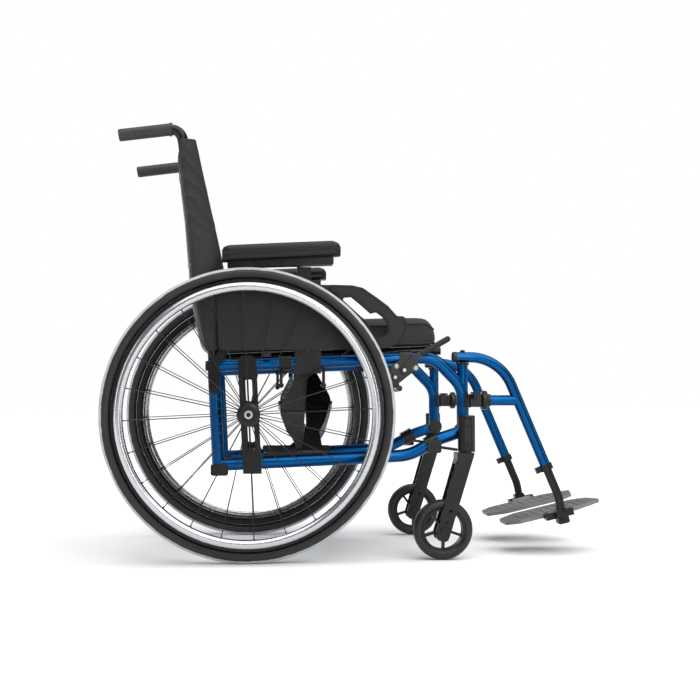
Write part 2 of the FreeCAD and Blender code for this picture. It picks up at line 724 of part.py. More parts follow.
def make_footrest_tube():
    start = at(hanger_end) - hanger_way * 88
    bend = at(hanger_end) + hanger_way * extension_drop
    tube = bar([start, bend, at(extension_end)], [90.0], extension_r)
    shoe = soften(block(-11, 13, 181, 203, -18, 14), 4, along_y)
    ears = []
    for low, high in ((-30, -22), (22, 30)):
        ear = Part.makeCylinder(7, high - low, Vector(low, plate_hinge_y, 0), Vector(1, 0, 0))
        web = block(low, high, plate_hinge_y, 186, -7, 7)
        ears += [ear, web]
    spine = block(-30, 30, 181, 186, -7, 7)
    pin = Part.makeCylinder(3, 64, Vector(-32, plate_hinge_y, 0), Vector(1, 0, 0))
    foot = union([shoe, spine, pin] + ears)
    foot.Placement = plate_place()
    bolts = [bolt_head(x, z, 202.5, 4, 3.5) for x, z in ((661, 96), (658, 77))]
    return union([tube, foot] + bolts)


def make_footplate():
    rear = -104 / cos(radians(plate_tilt))
    front = rear + plate_length
    half = plate_thick / 2
    corners = [Vector(rear, plate_inner_y + 30, -half), Vector(rear, plate_outer_y - 26, -half),
               Vector(rear + 26, plate_outer_y, -half), Vector(front - 60, plate_outer_y, -half),
               Vector(front, plate_outer_y - 34, -half), Vector(front - 13, plate_inner_y + 26, -half),
               Vector(front - 42, plate_inner_y, -half), Vector(rear + 40, plate_inner_y, -half)]
    outline = Part.makePolygon(corners + [corners[0]])
    plate = Part.Face(outline).extrude(Vector(0, 0, plate_thick))
    plate = soften(plate, 12, lambda edge: abs(edge.tangentAt(edge.FirstParameter).z) > 0.9)
    rows = []
    for step in range(9):
        reach = rear + 34 + 18 * step
        rows.append(block(reach, reach + 8, plate_inner_y + 18, plate_outer_y - 20, half - 0.5, half + 1.2))
    knuckle = Part.makeCylinder(7, 43, Vector(-21.5, plate_hinge_y, 0), Vector(1, 0, 0))
    web = block(-21.5, 21.5, plate_outer_y - 6, plate_hinge_y, -half, half)
    plate = union([plate, knuckle, web] + rows)
    plate = plate.cut(Part.makeCylinder(3 + running_gap, 80, Vector(-40, plate_hinge_y, 0), Vector(1, 0, 0)))
    plate.Placement = plate_place()
    return plate


# ---- armrests, side guards and wheel locks ----

def make_side_guard():
    outline = [(-58, 428), (-62, 540), (-20, 556), (60, 562), (150, 563), (214, 562), (236, 557), (265, 537),
               (288, 520), (306, 500), (322, 499), (327, 488), (328, 474), (322, 457), (308, 443), (290, 434),
               (262, 430)]
    panel = soften(slab(outline, guard_y, guard_y + guard_thick), 5, along_y)
    grip = [(150, 563), (214, 562), (236, 557), (265, 537), (288, 520), (306, 500), (327, 488),
            (328, 474), (322, 457), (308, 443), (290, 434), (262, 430), (250, 440), (180, 545)]
    arm = slab(grip, guard_y - 1, guard_y + 9)
    panel = union([panel, soften(arm, 6, along_y)])
    loop = [(190, 536), (212, 538), (234, 520), (252, 504), (264, 507), (276, 498),
            (286, 484), (289, 471), (284, 460), (262, 452), (247, 484), (222, 507)]
    opening = slab(loop, guard_y - 10, guard_y + 20)
    panel = panel.cut(soften(opening, 4, along_y))
    tabs = [block(x - 8, x + 8, 204, guard_y + 1, tube_z(x) + tube_r + 0.4, tube_z(x) + tube_r + 12)
            for x in (40, 240)]
    return union([panel] + tabs)


def make_armrest_post():
    """The upright post and the sloping rail that carries the pad."""
    post = block(*post_box_x, *post_box_y, 379, 600)
    rail = slab([(-41, 595.6), (175, 603.4), (175, 619.4), (-41, 606.6)], 210, 241)
    return union([post, soften(rail, 2.5, along_y)])


def make_armrest_pad():
    half = 27.0
    outline = [(-53, 606.3), (190, 620.7), (190, 637), (184, 646.5), (172, 651), (60, 645.3), (-38, 639.8),
               (-48, 636), (-53, 627)]
    pad = slab(outline, pad_y - half, pad_y + half)
    top_edges = lambda edge: abs(edge.CenterOfMass.y - pad_y) > half - 1 and edge.CenterOfMass.z > 625
    return soften(pad, 7, top_edges)


def make_brake_lever():
    low, high = 211.4, 216.2
    middle = (low + high) / 2
    arm = union([link_bar(lever_pivot, lever_bend, 8, low, high),
                 link_bar(lever_bend, (lever_bend[0] + 25, lever_bend[1] + 14), 6.8, low, high)])
    start = Vector(lever_bend[0] + 12, middle, lever_bend[1] + 7)
    end = Vector(lever_tip[0], middle, lever_tip[1])
    lever = union([arm, rod(start, end, 6.2), Part.makeSphere(6.2, end)])
    return lever.cut(cross_rod(*lever_pivot, 4 + running_gap, 200, 230))


def make_brake_shoe():
    low, high = 211.4, 216.2
    arm = link_bar(shoe_pivot, shoe_centre, 7, low, high)
    shoe = cross_rod(*shoe_centre, shoe_r, high - 1, 268)
    return union([arm, shoe]).cut(cross_rod(*shoe_pivot, 4 + running_gap, 200, 230))


# ---- writing the parts ----

def write(name, shape):
    """Moves a shape to the chair's own origin and writes it as one part."""
    placed = shape.copy()
    placed.translate(Vector(layout_x, 0, 0))
    placed.exportStep("parts/" + name + ".step")


def write_pair(name, shape):
    """Writes a left piece and its mirror image for the right."""
    write(name + "_left", shape)
    write(name + "_right", shape.mirror(Vector(0, 0, 0), Vector(0, 1, 0)))


def main():
    os.makedirs("parts", exist_ok=True)
    frame = make_side_frame()
    cane = make_back_cane()
    write_pair("side_frame", frame)
    write_pair("frame_fittings", make_frame_fittings(frame))
    write_pair("axle_plate", make_axle_plate(frame))
    write_pair("back_cane", cane)
    write_pair("push_grip", make_push_grip(cane))
    write_pair("side_guard", make_side_guard())
    write_pair("armrest_post", make_armrest_post())
    write_pair("armrest_pad", make_armrest_pad())
    write_pair("brake_lever", make_brake_lever())
    write_pair("brake_shoe", make_brake_shoe())
    write_pair("caster_housing", make_caster_housing(frame))
    write_pair("caster_fork", make_caster_fork())
    write_pair("caster_wheel", make_caster_wheel())
    write_pair("caster_tyre", make_caster_tyre())
    write_pair("hanger_tube", make_hanger_tube())
    write_pair("hanger_fittings", make_hanger_fittings())
    write_pair("hanger_latch", make_hanger_latch())
    write_pair("footrest_tube", make_footrest_tube())
    write_pair("footplate", make_footplate())
    write_pair("rear_tyre", make_rear_tyre())
    write_pair("rear_rim", make_rear_rim())
    write_pair("handrim", make_handrim())
    write_pair("wheel_spokes", make_wheel_spokes())
    write_pair("wheel_hub", make_wheel_hub())
    write_pair("axle_pin", make_axle_pin())
    write_pair("axle_button", make_axle_button())
    write_pair("seat_rail", make_seat_rail())
    write("cross_arm_front", make_cross_arm(-1, 1))
    write("cross_arm_rear", make_cross_arm(1, -1))
    write("centre_bolt", make_centre_bolt())
    sling_low = rail_r + 0.4
    cushion_low = sling_low + sling_thick + 0.4
    write("seat_sling", seat_slab(sling_half_width, sling_low, sling_thick, seat_rear_x, seat_front_x - 6, 0))
    write("seat_cushion",
          seat_slab(cushion_half_width, cushion_low, cushion_thick, seat_rear_x, seat_front_x, 22))
    write("back_upholstery", make_back_upholstery())


main()
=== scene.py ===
import json
from math import cos, pi, radians, sin, sqrt

import bpy
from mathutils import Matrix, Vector, noise
from mathutils.bvhtree import BVHTree


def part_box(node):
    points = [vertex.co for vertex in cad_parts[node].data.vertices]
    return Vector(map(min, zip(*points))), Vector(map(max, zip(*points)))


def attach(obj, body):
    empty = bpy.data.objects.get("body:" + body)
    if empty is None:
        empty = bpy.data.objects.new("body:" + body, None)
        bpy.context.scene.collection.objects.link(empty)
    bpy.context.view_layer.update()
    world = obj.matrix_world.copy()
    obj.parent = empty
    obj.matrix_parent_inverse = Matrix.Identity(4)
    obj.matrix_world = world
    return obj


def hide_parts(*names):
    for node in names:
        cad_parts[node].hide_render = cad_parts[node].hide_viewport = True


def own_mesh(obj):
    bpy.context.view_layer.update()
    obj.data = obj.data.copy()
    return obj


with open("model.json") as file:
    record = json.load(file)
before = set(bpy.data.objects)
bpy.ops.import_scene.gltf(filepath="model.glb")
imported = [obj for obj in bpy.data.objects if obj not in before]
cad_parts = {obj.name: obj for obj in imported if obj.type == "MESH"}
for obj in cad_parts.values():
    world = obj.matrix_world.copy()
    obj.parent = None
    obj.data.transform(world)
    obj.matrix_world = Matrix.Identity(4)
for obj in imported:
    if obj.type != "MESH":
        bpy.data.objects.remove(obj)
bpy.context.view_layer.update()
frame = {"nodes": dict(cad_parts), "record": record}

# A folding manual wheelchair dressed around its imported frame. Metres, in the frame's own axes:
# X forwards, Y to the user's left, Z up from the floor.
NODES = frame["nodes"]
SIDES = {"right": -1, "left": 1}


def middle(node):
    """Centre of a CAD node's box."""
    low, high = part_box(node)
    return (low + high) / 2


# ---------------------------------------------------------------- materials

class Shader:
    """A material with a Principled BSDF and short calls for the nodes that feed it."""

    def __init__(self, name, **sockets):
        self.material = bpy.data.materials.new(name)
        self.material.use_nodes = True
        self.tree = self.material.node_tree
        self.tree.nodes.clear()
        self.bsdf = self.tree.nodes.new("ShaderNodeBsdfPrincipled")
        output = self.tree.nodes.new("ShaderNodeOutputMaterial")
        self.tree.links.new(self.bsdf.outputs[0], output.inputs[0])
        for socket, value in sockets.items():
            self.bsdf.inputs[socket.replace("_", " ")].default_value = value
        self.place = self.tree.nodes.new("ShaderNodeTexCoord").outputs["Object"]

    def add(self, kind, inputs=(), **settings):
        """A node with its settings and its inputs, each a value or another node's output."""
        made = self.tree.nodes.new(kind)
        for key, value in settings.items():
            setattr(made, key, value)
        for key, value in dict(inputs).items():
            if isinstance(value, bpy.types.NodeSocket):
                self.tree.links.new(value, made.inputs[key])
            else:
                made.inputs[key].default_value = value
        return made

    def noise(self, scale, detail=3.0, rough=0.5, at=None, stretch=None):
        """Fractal noise between 0 and 1."""
        where = at or self.place
        if stretch:
            where = self.add("ShaderNodeMapping", {"Vector": where, "Scale": stretch}).outputs[0]
        made = self.add("ShaderNodeTexNoise",
                        {"Vector": where, "Scale": scale, "Detail": detail, "Roughness": rough})
        return made.outputs["Fac"]

    def cells(self, scale, feature="F1"):
        """Distance to the nearest point of a cell pattern."""
        made = self.add("ShaderNodeTexVoronoi", {"Vector": self.place, "Scale": scale}, feature=feature)
        return made.outputs["Distance"]

    def wave(self, scale, direction, at=None, distortion=0.0):
        """Parallel ridges."""
        made = self.add("ShaderNodeTexWave", {"Vector": at or self.place,
                                              "Scale": scale, "Distortion": distortion,
                                              "Detail": 1.0}, bands_direction=direction)
        return made.outputs["Fac"]

    def math(self, operation, first, second=0.0, third=0.0):
        """One sum on numbers or outputs."""
        return self.add("ShaderNodeMath", {0: first, 1: second, 2: third}, operation=operation).outputs[0]

    def ramp(self, factor, *stops):
        """A colour ramp of (place, colour) stops."""
        made = self.add("ShaderNodeValToRGB", {"Fac": factor})
        elements = made.color_ramp.elements
        elements[0].position, elements[0].color = stops[0][0], (*stops[0][1], 1)
        elements[1].position, elements[1].color = stops[-1][0], (*stops[-1][1], 1)
        for place, colour in stops[1:-1]:
            elements.new(place).color = (*colour, 1)
        return made.outputs["Color"]

    def span(self, factor, low, high, to_low, to_high):
        """A number moved from one range to another and clamped."""
        return self.add("ShaderNodeMapRange", {"Value": factor, "From Min": low, "From Max": high,
                                               "To Min": to_low, "To Max": to_high}).outputs["Result"]

    def mix(self, factor, first, second):
        """Two colours mixed."""
        made = self.add("ShaderNodeMix", data_type="RGBA")
        for key, value in ((0, factor), (6, first), (7, second)):
            if isinstance(value, bpy.types.NodeSocket):
                self.tree.links.new(value, made.inputs[key])
            else:
                made.inputs[key].default_value = value if key == 0 else (*value, 1)
        return made.outputs[2]

    def split(self):
        """The object's X, Y and Z as outputs."""
        return self.add("ShaderNodeSeparateXYZ", {0: self.place}).outputs

    def colour(self, output):
        self.tree.links.new(output, self.bsdf.inputs["Base Color"])

    def roughness(self, output):
        self.tree.links.new(output, self.bsdf.inputs["Roughness"])

    def metal(self, output):
        self.tree.links.new(output, self.bsdf.inputs["Metallic"])

    def bump(self, height, distance, strength=1.0, under=None):
        """Relief from a height, stacked on an earlier bump if one is given."""
        inputs = {"Height": height, "Distance": distance, "Strength": strength}
        if under is not None:
            inputs["Normal"] = under
        made = self.add("ShaderNodeBump", inputs)
        self.tree.links.new(made.outputs[0], self.bsdf.inputs["Normal"])
        return made.outputs[0]


def blue_paint():
    s = Shader("blue_paint", Metallic=0.96, Coat_Weight=0.15, Coat_Roughness=0.05, IOR=1.45)
    flakes = s.cells(2600)
    tone = s.noise(9, 4)
    deep = s.mix(s.span(tone, 0.3, 0.7, 0, 1), (0.000, 0.066, 0.215), (0.000, 0.082, 0.258))
    sparkle = s.mix(s.span(flakes, 0.0, 0.25, 0.10, 0.0), (0.0, 0.0, 0.0), (0.01, 0.12, 0.30))
    total = s.add("ShaderNodeMix", {0: 1.0, 6: deep, 7: sparkle},
                  data_type="RGBA", blend_type="ADD").outputs[2]
    worn = s.span(s.noise(160, 6, 0.7), 0.66, 0.74, 0, 1)
    scuff = s.math("MULTIPLY", worn, s.span(s.noise(14, 2), 0.55, 0.7, 0, 0.5))
    s.colour(total)
    s.roughness(s.math("ADD", s.span(s.noise(40, 3), 0.3, 0.7, 0.27, 0.35), s.math("MULTIPLY", scuff, 0.25)))
    s.bump(flakes, 0.00001, 0.08, s.bump(s.noise(420, 2), 0.00003, 0.10))
    return s.material


def black_coat(name, base, rough, grain=900.0, metallic=0.0):
    """Powder coat or anodising: fine orange peel, uneven gloss, and light rubbing in patches."""
    s = Shader(name, Metallic=metallic, IOR=1.38)
    dust = s.noise(22, 5, 0.6)
    fine = s.noise(grain, 3, 0.6)
    rubbed = s.math("MULTIPLY", s.span(s.noise(120, 6, 0.7), 0.6, 0.75, 0, 1), s.span(dust, 0.5, 0.7, 0, 1))
    light = tuple(min(1.0, channel * 2.4 + 0.012) for channel in base)
    toned = s.mix(s.span(dust, 0.3, 0.7, 0, 0.45), base, tuple(channel * 1.7 for channel in base))
    s.colour(s.add("ShaderNodeMix", {0: s.math("MULTIPLY", rubbed, 0.5), 6: toned, 7: (*light, 1)},
                   data_type="RGBA").outputs[2])
    s.roughness(s.math("ADD", s.span(dust, 0.3, 0.7, rough - 0.05, rough + 0.06),
                       s.math("MULTIPLY", rubbed, 0.08)))
    s.bump(fine, 0.00012, 0.4)
    return s.material


def moulded_plastic(name, base, rough, grain=1400.0, depth=0.00014):
    """Moulded plastic: pebbled grain, soft mottling and a faint bloom."""
    s = Shader(name, IOR=1.40)
    bloom = s.noise(16, 4, 0.6)
    toned = s.mix(s.span(bloom, 0.3, 0.7, 0, 1), base, tuple(channel * 1.5 for channel in base))
    pits = s.cells(grain)
    s.colour(toned)
    s.roughness(s.span(bloom, 0.3, 0.7, rough - 0.05, rough + 0.07))
    s.bump(pits, depth, 0.5, s.bump(s.noise(60, 3), 0.0003, 0.12))
    return s.material


def brushed_metal(name, base, rough, centre=None, dark_beyond=None, metallic=1.0):
    """Bare or anodised metal, brushed round an axle along Y if a centre is given.

    Beyond a radius from that axle it can turn black, as on the hand rim's stays.
    """
    s = Shader(name, Metallic=metallic, IOR=1.5)
    if centre is None:
        streaks = s.noise(260, 4, 0.6, stretch=(1, 1, 6))
    else:
        x, y, z = s.split()
        dx = s.math("SUBTRACT", x, centre.x)
        dz = s.math("SUBTRACT", z, centre.z)
        radius = s.math("SQRT", s.math("ADD", s.math("MULTIPLY", dx, dx), s.math("MULTIPLY", dz, dz)))
        turn = s.math("MULTIPLY", s.math("ARCTAN2", dz, dx), 0.03)
        along = s.add("ShaderNodeCombineXYZ", {0: radius, 1: y, 2: turn}).outputs[0]
        streaks = s.noise(1500, 4, 0.6, at=along)
    patch = s.noise(12, 4)
    bright = s.mix(s.span(streaks, 0.3, 0.7, 0, 1), tuple(channel * 0.86 for channel in base), base)
    if dark_beyond is not None:
        on_stay = s.span(radius, dark_beyond, dark_beyond + 0.0002, 0, 1)
        bright = s.add("ShaderNodeMix", {0: on_stay, 6: bright, 7: (0.02, 0.02, 0.021, 1)},
                       data_type="RGBA").outputs[2]
    s.colour(bright)
    s.roughness(s.math("ADD", s.span(streaks, 0.3, 0.7, rough - 0.05, rough + 0.05),
                       s.span(patch, 0.3, 0.7, 0, 0.06)))
    s.bump(streaks, 0.00001, 0.2)
    return s.material


def rubber(name, base, rough, grain=700.0):
    """Plain rubber: matte, slightly dusty, finely pitted."""
    s = Shader(name, IOR=1.45)
    dust = s.noise(30, 6, 0.65)
    s.colour(s.mix(s.span(dust, 0.35, 0.75, 0, 1), base, tuple(channel * 1.55 for channel in base)))
    s.roughness(s.span(dust, 0.3, 0.7, rough - 0.06, rough + 0.08))
    s.bump(s.noise(grain, 4, 0.7), 0.00012, 0.5)
    return s.material


def tyre_rubber(name, centre, tread_from, sidewall, tread):
    """Black sidewall and a paler, dusty tread beyond a radius from the axle."""
    s = Shader(name, IOR=1.45)
    x, _, z = s.split()
    dx = s.math("SUBTRACT", x, centre.x)
    dz = s.math("SUBTRACT", z, centre.z)
    radius = s.math("SQRT", s.math("ADD", s.math("MULTIPLY", dx, dx), s.math("MULTIPLY", dz, dz)))
    dust = s.noise(55, 6, 0.65)
    edge = s.math("ADD", radius, s.span(dust, 0.3, 0.7, -0.0006, 0.0006))
    on_tread = s.span(edge, tread_from, tread_from + 0.0012, 0, 1)
    wall = s.mix(s.span(dust, 0.3, 0.75, 0, 1), sidewall, tuple(channel * 1.5 for channel in sidewall))
    floor = s.mix(s.span(dust, 0.3, 0.75, 0, 1), tuple(channel * 0.8 for channel in tread), tread)
    s.colour(s.add("ShaderNodeMix", {0: on_tread, 6: wall, 7: floor}, data_type="RGBA").outputs[2])
    s.roughness(s.span(on_tread, 0, 1, 0.5, 0.75))
    outward = s.add("ShaderNodeCombineXYZ", {0: s.math("MULTIPLY", radius, 160.0)}).outputs[0]
    rings = s.wave(1.0, "X", at=outward)
    s.bump(rings, 0.00012, 0.35, s.bump(s.noise(900, 4, 0.7), 0.0001, 0.5))
    return s.material


def woven(name, base, rough, thread, sheen=0.25, slub=0.5):
    """Plain weave of crossing threads, with slubs, creases of tone and a soft sheen."""
    s = Shader(name, IOR=1.45, Sheen_Weight=sheen, Sheen_Roughness=0.45)
    x, y, z = s.split()
    along = s.math("ADD", x, z)
    scale = 2 * pi / (20 * thread)
    warp = s.wave(scale, "X", at=s.add("ShaderNodeCombineXYZ", {0: y}).outputs[0])
    weft = s.wave(scale, "X", at=s.add("ShaderNodeCombineXYZ", {0: along}).outputs[0])
    checker = s.math("ABSOLUTE", s.math("SUBTRACT", warp, weft))
    slubs = s.noise(500, 4, 0.6, stretch=(1, slub * 8, 1))
    fade = s.noise(7, 4, 0.6)
    tone = s.math("ADD", s.math("MULTIPLY", checker, 0.5), s.math("MULTIPLY", slubs, 0.5))
    light = tuple(channel * 2.1 + 0.004 for channel in base)
    threads = s.mix(s.span(tone, 0.15, 0.8, 0, 1), base, light)
    faded = s.add("ShaderNodeMix", {0: s.span(fade, 0.35, 0.75, 0, 0.3), 6: threads, 7: (*light, 1)},
                  data_type="RGBA").outputs[2]
    s.colour(faded)
    s.roughness(s.span(slubs, 0.3, 0.7, rough - 0.06, rough + 0.06))
    s.bump(checker, 0.0003, 0.55, s.bump(s.noise(45, 4, 0.6), 0.0012, 0.3))
    return s.material


def grained_skin(name, base, rough, index=1.38):
    """Vinyl or moulded foam skin with leather-like grain, its hollows darkened as painted shade."""
    s = Shader(name, IOR=index)
    crease = s.cells(620, "SMOOTH_F1")
    fine = s.cells(1700)
    shade = s.noise(20, 5, 0.6)
    # Painted shade: the colour falls to 0.6 of the base in the low cells of the grain bump, the hollows of
    # the grain.
    s.colour(s.mix(s.span(crease, 0.0, 0.6, 0, 1), tuple(channel * 0.6 for channel in base), base))
    s.roughness(s.span(shade, 0.3, 0.7, rough - 0.06, rough + 0.08))
    s.bump(fine, 0.00008, 0.35, s.bump(crease, 0.00025, 0.5))
    return s.material


WHEEL = {side: middle("wheel_hub_" + side) for side in SIDES}
HANDRIM_OUTER = (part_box("handrim_right")[1].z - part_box("handrim_right")[0].z) / 2

MATERIAL = {
    "frame_blue": blue_paint(),
    "black_metal": black_coat("black_metal", (0.006, 0.006, 0.0062), 0.27),
    "brace_black": black_coat("brace_black", (0.010, 0.010, 0.0102), 0.26, 500),
    "black_plastic": moulded_plastic("black_plastic", (0.0065, 0.0062, 0.0062), 0.44),
    "grip_rubber": rubber("grip_rubber", (0.022, 0.022, 0.0228), 0.50),
    "pad_skin": grained_skin("pad_skin", (0.008, 0.008, 0.0084), 0.38),
    "tyre_rubber": tyre_rubber("tyre_rubber", WHEEL["right"], 0.2905,
                               (0.014, 0.014, 0.0145), (0.50, 0.53, 0.57)),
    "caster_rubber": rubber("caster_rubber", (0.009, 0.009, 0.0094), 0.42),
    "rim_black": black_coat("rim_black", (0.006, 0.006, 0.0065), 0.28, 1200),
    "handrim_silver": brushed_metal("handrim_silver", (0.62, 0.63, 0.65), 0.24, WHEEL["right"],
                                    HANDRIM_OUTER + 0.0002),
    "spoke_steel": black_coat("spoke_steel", (0.010, 0.010, 0.0105), 0.35, 2000),
    "hub_black": black_coat("hub_black", (0.008, 0.008, 0.0085), 0.30, 1200),
    "axle_steel": brushed_metal("axle_steel", (0.62, 0.63, 0.65), 0.28),
    "bolt_zinc": brushed_metal("bolt_zinc", (0.80, 0.79, 0.75), 0.34, metallic=0.45),
    "footplate_grey": moulded_plastic("footplate_grey", (0.135, 0.138, 0.142), 0.42, 900, 0.0003),
    "black_nylon": woven("black_nylon", (0.0045, 0.0045, 0.0047), 0.46, 0.0009, 0.05),
    "cushion_fabric": woven("cushion_fabric", (0.009, 0.009, 0.0095), 0.72, 0.0014, 0.15),
}


def finish_node(node, slot):
    """Gives a CAD node its procedural material."""
    target = NODES[node]
    target.data.materials.clear()
    target.data.materials.append(MATERIAL[slot])


for entry in frame["record"]["subparts"]:
    finish_node(entry["node"], entry["material_slot"])


# ---------------------------------------------------------------- mesh helpers

def piece(name, verts, faces, slot, body, smooth=True):
    """A mesh object from points and faces that rides a body."""
    mesh = bpy.data.meshes.new(name)
    mesh.from_pydata([tuple(vert) for vert in verts], [], faces)
    mesh.validate()
    mesh.materials.append(MATERIAL[slot])
    if smooth:
        mesh.polygons.foreach_set("use_smooth", [True] * len(mesh.polygons))
    made = bpy.data.objects.new(name, mesh)
    bpy.context.scene.collection.objects.link(made)
    if body:
        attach(made, body)
    return made


def grid_faces(rows, columns, wrap_rows=False, wrap_columns=False):
    """Quads over a grid of points, closed round either way."""
    faces = []
    for row in range(rows if wrap_rows else rows - 1):
        for column in range(columns if wrap_columns else columns - 1):
            after_row = (row + 1) % rows
            after_column = (column + 1) % columns
            faces.append((row * columns + column, row * columns + after_column,
                          after_row * columns + after_column, after_row * columns + column))
    return faces


def tube_mesh(points, radius, closed=False, sides=10):
    """Points and faces of a thin tube along a line of points."""
    verts, faces = [], []
    count = len(points)
    normal = Vector((0.31, 0.87, 0.39))
    for index, point in enumerate(points):
        before = points[index - 1] if closed or index else points[0]
        after = points[(index + 1) % count] if closed or index < count - 1 else points[-1]
        along = (after - before).normalized()
        normal = (normal - along * normal.dot(along)).normalized()
        across = along.cross(normal)
        for step in range(sides):
            turn = 2 * pi * step / sides
            verts.append(point + (normal * cos(turn) + across * sin(turn)) * radius)
    faces = grid_faces(count, sides, closed, True)
    if not closed:
        faces.append(tuple(reversed(range(sides))))
        faces.append(tuple(range((count - 1) * sides, count * sides)))
    return verts, faces


def tree_of(target):
    """A search tree over a mesh object's faces."""
    mesh = target.data
    return BVHTree.FromPolygons([vert.co.copy() for vert in mesh.vertices],
                                [tuple(face.vertices) for face in mesh.polygons])


def x_span(tree, y, z):
    """Where a line along X first meets a form from behind and from in front."""
    far = 3.0
    rear = tree.ray_cast(Vector((-far, y, z)), Vector((1, 0, 0)))[0]
    front = tree.ray_cast(Vector((far, y, z)), Vector((-1, 0, 0)))[0]
    return rear.x, front.x


def smooth_all(mesh):
    mesh.polygons.foreach_set("use_smooth", [True] * len(mesh.polygons))


def take_modifiers(target):
    """Bakes a piece's modifiers into its mesh."""
    bpy.context.view_layer.update()
    evaluated = target.evaluated_get(bpy.context.evaluated_depsgraph_get())
    mesh = bpy.data.meshes.new_from_object(evaluated)
    target.modifiers.clear()
    target.data = mesh
    smooth_all(mesh)


def subdivide(target, levels=1):
    modifier = target.modifiers.new("smoother", "SUBSURF")
    modifier.levels = levels
    modifier.render_levels = levels
    take_modifiers(target)


def sew_and_fill(target, voxel, cap, pressure=4.0, slack=0.0, stiff=15.0, weight=None):
    """Swells a closed form as sewn fabric over padding; no point moves further than the cap."""
    modifier = target.modifiers.new("remesh", "REMESH")
    modifier.mode = "VOXEL"
    modifier.voxel_size = voxel
    take_modifiers(target)
    rest = [vert.co.copy() for vert in target.data.vertices]
    cloth = target.modifiers.new("cloth", "CLOTH").settings
    cloth.quality = 6
    cloth.mass = 0.25
    cloth.tension_stiffness = stiff
    cloth.compression_stiffness = stiff
    cloth.shear_stiffness = 5.0
    cloth.bending_stiffness = 0.4
    cloth.shrink_min = -slack
    cloth.use_pressure = True
    cloth.uniform_pressure_force = pressure
    cloth.effector_weights.gravity = 0.0
    for step in range(1, 21):
        bpy.context.scene.frame_set(step)
    evaluated = target.evaluated_get(bpy.context.evaluated_depsgraph_get())
    moved = [vert.co.copy() for vert in evaluated.data.vertices]
    target.modifiers.clear()
    bpy.context.scene.frame_set(1)
    for vert, start, end in zip(target.data.vertices, rest, moved):
        step = end - start
        if step.length > cap:
            step *= cap / step.length
        vert.co = start + step * (weight(start) if weight else 1.0)
    subdivide(target)


def press_seams(target, distance, depth, width):
    """Sinks a sewn line into a surface where a distance to it is small."""
    mesh = target.data
    normals = [vert.normal.copy() for vert in mesh.vertices]
    for vert, normal in zip(mesh.vertices, normals):
        away = distance(vert.co)
        if away < 4 * width:
            vert.co -= normal * depth * 2.718 ** (-(away / width) ** 2)


def sample_line(points, pitch):
    """Evenly spaced points along a broken line."""
    out = [points[0].copy()]
    carried = 0.0
    for first, second in zip(points, points[1:]):
        run = (second - first).length
        along = pitch - carried
        while along < run:
            out.append(first.lerp(second, along / run))
            along += pitch
        carried = run - (along - pitch)
    return out


def stitches(name, tree, points, body, slot, pitch=0.0042, thread=0.0006):
    """A row of raised thread stitches lying on a surface along a line."""
    verts, faces = [], []
    places = []
    for point in sample_line(points, pitch):
        place, normal, _, _ = tree.find_nearest(point)
        places.append((place, normal))
    for (first, up), (second, _) in zip(places, places[1:]):
        run = (second - first) * 0.68
        if run.length < 1e-5:
            continue
        along = run.normalized()
        across = along.cross(up).normalized()
        start = len(verts)
        for share, lift, wide in ((0.0, -0.3, 0.35), (0.2, 0.45, 0.9), (0.8, 0.45, 0.9), (1.0, -0.3, 0.35)):
            centre = first + run * share + up * thread * lift
            for turn in range(6):
                angle = 2 * pi * turn / 6
                verts.append(centre + (across * cos(angle) + up * sin(angle)) * thread * wide)
        faces += [tuple(start + corner for corner in face) for face in grid_faces(4, 6, False, True)]
        faces.append(tuple(start + corner for corner in reversed(range(6))))
        faces.append(tuple(start + corner for corner in range(18, 24)))
    return piece(name, verts, faces, slot, body)


def piping(name, tree, points, body, slot, radius=0.0022, sink=0.3):
    """A sewn cord edging that lies on a surface along a closed line."""
    places = []
    for point in sample_line(points + [points[0]], 0.006)[:-1]:
        place, normal, _, _ = tree.find_nearest(point)
        places.append(place + normal * radius * sink)
    count = len(places)
    eased = [(places[index - 1] + places[index] * 2 + places[(index + 1) % count]) / 4
             for index in range(count)]
    verts, faces = tube_mesh(eased, radius, True, 8)
    return piece(name, verts, faces, slot, body)


# ---------------------------------------------------------------- tyres

def make_tyre(side):
    """A slick tyre with sidewall ridges, ribbed tread and fine cuts at its shoulders."""
    node = "rear_tyre_" + side
    low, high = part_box(node)
    centre = (low + high) / 2
    half = (high.y - low.y) / 2
    hoop = (high.z - low.z) / 2 - half
    around, section = 900, 44
    opening = radians(28)
    verts = []
    for step in range(around):
        turn = 2 * pi * step / around
        cut = 1.0 if step % 3 == 0 else 0.0
        for index in range(section):
            angle = -pi + opening + (2 * pi - 2 * opening) * index / (section - 1)
            reach = half
            on_ridge = abs(abs(angle) - 1.55) < 0.06 or abs(abs(angle) - 2.2) < 0.06
            if abs(angle) < 0.62:
                reach -= 0.0005 * (1.0 if index % 4 == 0 else 0.0)
            elif abs(angle) < 0.95:
                reach -= 0.0005 * cut
            elif not on_ridge:
                reach -= 0.0004
            radius = hoop + reach * cos(angle)
            verts.append(Vector((centre.x + radius * cos(turn), centre.y + reach * sin(angle),
                                 centre.z + radius * sin(turn))))
    faces = grid_faces(around, section, True, True)
    tyre = piece(node + "_skin", verts, faces, "tyre_rubber", "wheel_" + side)
    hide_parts(node)


# ---------------------------------------------------------------- back upholstery

BACK_LOW, BACK_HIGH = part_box("back_upholstery")
SLEEVE_DEPTH = 0.0128


